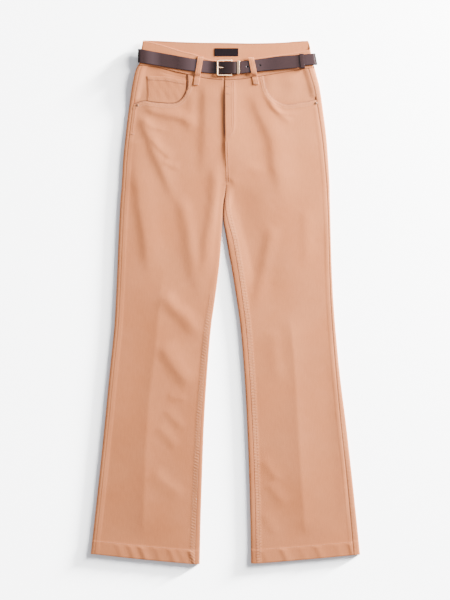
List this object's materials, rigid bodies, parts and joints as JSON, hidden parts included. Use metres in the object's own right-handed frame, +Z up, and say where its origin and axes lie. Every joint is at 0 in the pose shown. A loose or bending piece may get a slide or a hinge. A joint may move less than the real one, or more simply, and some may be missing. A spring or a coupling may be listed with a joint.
{
  "type": "bootcut jeans",
  "caption": "Denim bootcut jeans with scoop front pockets, a coin pocket, a buttoned fly and a leather belt with a square metal buckle, laid flat on their back.",
  "frame": {"origin": "on the surface that the jeans lie on, under the centre of their bounding box", "axes": "+Y from the hems to the waist, +Z up from the surface to the front of the jeans, +X to the wearer's left"},
  "size_m": [0.564, 1.0985, 0.0174],
  "materials": {
    "denim": "soft peach-tan cotton twill",
    "belt_leather": "dark aubergine-brown pebbled leather, satin",
    "buckle_metal": "pale gold, polished",
    "rivet_metal": "dark antique",
    "label_cloth": "dark navy woven, blank"
  },
  "bodies": {
    "root": {"front_right": "denim", "front_left": "denim", "back_right": "denim", "back_left": "denim", "pocket_facing_right": "denim", "pocket_facing_left": "denim", "coin_pocket": "denim", "fly_shield": "denim", "waistband": "denim", "loop_front_right": "denim", "loop_front_left": "denim", "loop_back_right": "denim", "loop_back_centre": "denim", "loop_back_left": "denim", "belt_strap": "belt_leather", "keeper_leather": "belt_leather", "buckle_frame": "buckle_metal", "buckle_prong": "buckle_metal", "keeper_metal": "buckle_metal", "rivet_right": "rivet_metal", "rivet_left": "rivet_metal", "label": "label_cloth"}
  },
  "joints": []
}
